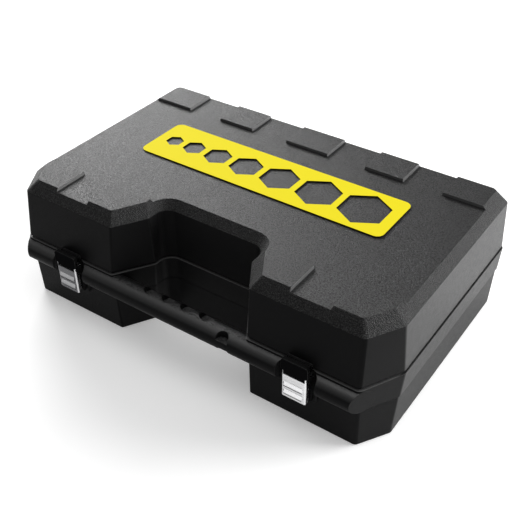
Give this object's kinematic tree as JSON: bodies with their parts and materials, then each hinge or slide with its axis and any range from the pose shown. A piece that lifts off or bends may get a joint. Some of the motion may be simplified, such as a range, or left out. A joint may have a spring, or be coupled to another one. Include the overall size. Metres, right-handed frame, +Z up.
{
  "type": "socket wrench set in case",
  "caption": "Black moulded carrying case with a handle bar, draw latches and a hinged lid, holding a socket wrench set in a shaped insert.",
  "frame": {"origin": "on the floor under the middle of the closed case", "axes": "+X along the handle bar and the case's length, +Y from the handle side to the hinges, +Z up out of the lid"},
  "size_m": [0.44, 0.284, 0.1383],
  "materials": {
    "case_black": "black moulded plastic with a fine leather grain",
    "latch_black": "black painted sheet steel",
    "bright_steel": "bright plated steel",
    "badge_yellow": "yellow satin plate",
    "insert_grey": "dark grey moulded plastic",
    "tool_chrome": "polished chrome on tool steel",
    "grip_black": "black grip moulding"
  },
  "bodies": {
    "tray": {"tray_shell": "case_black", "tool_insert": "insert_grey", "hinge_pin_left": "bright_steel", "hinge_pin_right": "bright_steel", "latch_bracket_left": "latch_black", "latch_bracket_right": "latch_black", "latch_pin_left": "bright_steel", "latch_pin_right": "bright_steel"},
    "lid": {"lid_shell": "case_black", "lid_badge": "badge_yellow", "latch_keeper_left": "latch_black", "latch_keeper_right": "latch_black"},
    "lever_left": {"latch_lever_left": "bright_steel", "hook_pin_left": "bright_steel"},
    "lever_right": {"latch_lever_right": "bright_steel", "hook_pin_right": "bright_steel"},
    "hook_left": {"latch_hook_left": "latch_black"},
    "hook_right": {"latch_hook_right": "latch_black"},
    "ratchet": {"ratchet_body": "tool_chrome", "ratchet_cover": "bright_steel", "ratchet_grip": "grip_black", "ratchet_pawl": "bright_steel"},
    "gear": {"ratchet_gear": "bright_steel"},
    "selector": {"ratchet_selector": "grip_black"},
    "button": {"ratchet_button": "bright_steel"},
    "long_extension": {"extension_long": "tool_chrome"},
    "short_extension": {"extension_short": "tool_chrome"},
    "t_bar": {"t_bar_rod": "tool_chrome"},
    "sliding_head": {"t_bar_head": "tool_chrome"},
    "lower_fork": {"joint_fork_lower": "tool_chrome"},
    "cross": {"joint_cross": "bright_steel"},
    "upper_fork": {"joint_fork_upper": "tool_chrome"},
    "socket_10_body": {"socket_10": "tool_chrome"},
    "socket_11_body": {"socket_11": "tool_chrome"},
    "socket_12_body": {"socket_12": "tool_chrome"},
    "socket_13_body": {"socket_13": "tool_chrome"},
    "socket_14_body": {"socket_14": "tool_chrome"},
    "socket_15_body": {"socket_15": "tool_chrome"},
    "socket_17_body": {"socket_17": "tool_chrome"},
    "socket_19_body": {"socket_19": "tool_chrome"},
    "socket_22_body": {"socket_22": "tool_chrome"},
    "socket_24_body": {"socket_24": "tool_chrome"},
    "socket_27_body": {"socket_27": "tool_chrome"},
    "socket_32_body": {"socket_32": "tool_chrome"}
  },
  "joints": [
    {"name": "lid_hinge", "type": "hinge", "parent": "tray", "child": "lid", "pos_m": [0, 0.1385, 0.0734], "axis": [-1, 0, 0], "range_deg": [0, 110]},
    {"name": "lever_left_turn", "type": "hinge", "parent": "tray", "child": "lever_left", "pos_m": [0, -0.1344, 0.0703], "axis": [-1, 0, 0], "range_deg": [0, 90]},
    {"name": "hook_left_turn", "type": "hinge", "parent": "lever_left", "child": "hook_left", "pos_m": [0, -0.1386, 0.0656], "axis": [-1, 0, 0], "range_deg": [-90, 0]},
    {"name": "lever_right_turn", "type": "hinge", "parent": "tray", "child": "lever_right", "pos_m": [0, -0.1344, 0.0703], "axis": [-1, 0, 0], "range_deg": [0, 90]},
    {"name": "hook_right_turn", "type": "hinge", "parent": "lever_right", "child": "hook_right", "pos_m": [0, -0.1386, 0.0656], "axis": [-1, 0, 0], "range_deg": [-90, 0]},
    {"name": "ratchet_lift", "type": "slide", "parent": "tray", "child": "ratchet", "axis": [0, 0, 1], "range_m": [0, 0.045]},
    {"name": "gear_spin", "type": "hinge", "parent": "ratchet", "child": "gear", "pos_m": [-0.16, 0.04, 0.05], "axis": [0, 0, 1], "continuous": true},
    {"name": "selector_turn", "type": "hinge", "parent": "ratchet", "child": "selector", "pos_m": [-0.16, 0.04, 0.06], "axis": [0, 0, 1], "range_deg": [-25, 25]},
    {"name": "button_press", "type": "slide", "parent": "ratchet", "child": "button", "axis": [0, 0, -1], "range_m": [0, 0.002], "stiffness_N_per_m": 400},
    {"name": "long_extension_lift", "type": "slide", "parent": "tray", "child": "long_extension", "axis": [0, 0, 1], "range_m": [0, 0.035]},
    {"name": "short_extension_lift", "type": "slide", "parent": "tray", "child": "short_extension", "axis": [0, 0, 1], "range_m": [0, 0.035]},
    {"name": "t_bar_lift", "type": "slide", "parent": "tray", "child": "t_bar", "axis": [0, 0, 1], "range_m": [0, 0.045]},
    {"name": "t_bar_slide", "type": "slide", "parent": "t_bar", "child": "sliding_head", "axis": [1, 0, 0], "range_m": [-0.105, 0.105]},
    {"name": "universal_joint_lift", "type": "slide", "parent": "tray", "child": "lower_fork", "axis": [0, 0, 1], "range_m": [0, 0.024]},
    {"name": "cross_tilt", "type": "hinge", "parent": "lower_fork", "child": "cross", "pos_m": [0.165, 0.02, 0.07], "axis": [0, 1, 0], "range_deg": [-30, 30]},
    {"name": "upper_fork_tilt", "type": "hinge", "parent": "cross", "child": "upper_fork", "pos_m": [0.165, 0.02, 0.07], "axis": [1, 0, 0], "range_deg": [-30, 30]},
    {"name": "socket_10_lift", "type": "slide", "parent": "tray", "child": "socket_10_body", "axis": [0, 0, 1], "range_m": [0, 0.03]},
    {"name": "socket_11_lift", "type": "slide", "parent": "tray", "child": "socket_11_body", "axis": [0, 0, 1], "range_m": [0, 0.03]},
    {"name": "socket_12_lift", "type": "slide", "parent": "tray", "child": "socket_12_body", "axis": [0, 0, 1], "range_m": [0, 0.03]},
    {"name": "socket_13_lift", "type": "slide", "parent": "tray", "child": "socket_13_body", "axis": [0, 0, 1], "range_m": [0, 0.03]},
    {"name": "socket_14_lift", "type": "slide", "parent": "tray", "child": "socket_14_body", "axis": [0, 0, 1], "range_m": [0, 0.03]},
    {"name": "socket_15_lift", "type": "slide", "parent": "tray", "child": "socket_15_body", "axis": [0, 0, 1], "range_m": [0, 0.03]},
    {"name": "socket_17_lift", "type": "slide", "parent": "tray", "child": "socket_17_body", "axis": [0, 0, 1], "range_m": [0, 0.03]},
    {"name": "socket_19_lift", "type": "slide", "parent": "tray", "child": "socket_19_body", "axis": [0, 0, 1], "range_m": [0, 0.03]},
    {"name": "socket_22_lift", "type": "slide", "parent": "tray", "child": "socket_22_body", "axis": [0, 0, 1], "range_m": [0, 0.03]},
    {"name": "socket_24_lift", "type": "slide", "parent": "tray", "child": "socket_24_body", "axis": [0, 0, 1], "range_m": [0, 0.03]},
    {"name": "socket_27_lift", "type": "slide", "parent": "tray", "child": "socket_27_body", "axis": [0, 0, 1], "range_m": [0, 0.03]},
    {"name": "socket_32_lift", "type": "slide", "parent": "tray", "child": "socket_32_body", "axis": [0, 0, 1], "range_m": [0, 0.03]}
  ],
  "couplings": [
    {"joint": "hook_left_turn", "follows": "lever_left_turn", "ratio": -1},
    {"joint": "hook_right_turn", "follows": "lever_right_turn", "ratio": -1}
  ]
}
